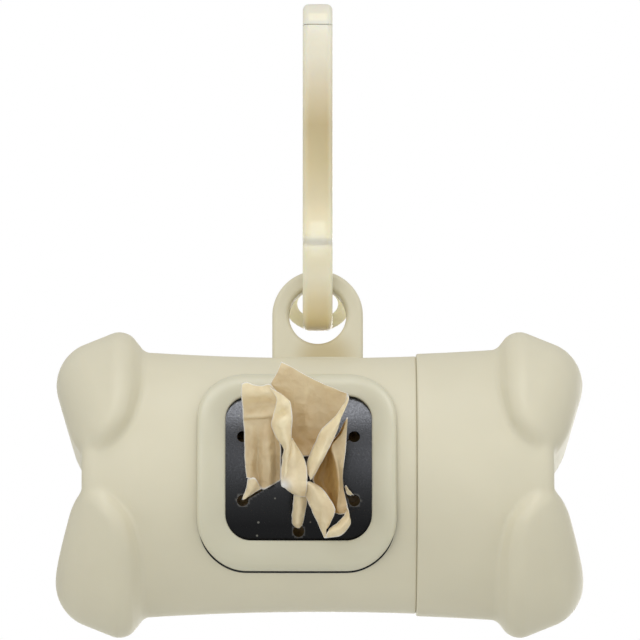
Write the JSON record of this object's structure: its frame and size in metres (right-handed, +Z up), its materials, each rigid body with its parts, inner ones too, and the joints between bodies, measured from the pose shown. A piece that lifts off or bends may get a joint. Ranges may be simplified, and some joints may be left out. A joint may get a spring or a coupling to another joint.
{
  "type": "dog waste bag dispenser",
  "caption": "Bone-shaped bag dispenser with a pull-off end cap, a slit rubber window, a wound bag roll inside and a snap hook that hangs it from a leash.",
  "frame": {"origin": "centre of the bend of the snap hook, where a leash ring sits", "axes": "+Z up, -Y to the front where the window faces, +X along the barrel towards the pull-off cap"},
  "size_m": [0.0848, 0.0482, 0.1031],
  "materials": {
    "body_plastic": "satin moulded",
    "bezel_plastic": "satin moulded",
    "hook_plastic": "smooth, slightly translucent",
    "rubber": "smooth soft rubber",
    "film": "thin crinkled film",
    "card": "plain card tube"
  },
  "bodies": {
    "clip": {"clip_hook": "hook_plastic"},
    "gate": {"clip_gate": "hook_plastic"},
    "dispenser": {"body_shell": "body_plastic", "window_bezel": "bezel_plastic", "slit_membrane": "rubber", "bag_tail": "film"},
    "cap": {"end_cap": "body_plastic"},
    "roll": {"roll_core": "card", "bag_roll": "film"}
  },
  "joints": [
    {"name": "gate_hinge", "type": "hinge", "parent": "clip", "child": "gate", "pos_m": [0, -0.0073, -0.0295], "axis": [-1, 0, 0], "range_deg": [0, 16], "stiffness_Nm_per_rad": 0.08},
    {"name": "tab_swing", "type": "hinge", "parent": "clip", "child": "dispenser", "pos_m": [0, 0, -0.03605], "axis": [1, 0, 0], "range_deg": [-40, 24]},
    {"name": "cap_pull", "type": "slide", "parent": "dispenser", "child": "cap", "axis": [1, 0, 0], "range_m": [0, 0.045]},
    {"name": "roll_spin", "type": "hinge", "parent": "dispenser", "child": "roll", "pos_m": [0.0003, 0, -0.0709], "axis": [1, 0, 0], "continuous": true}
  ]
}
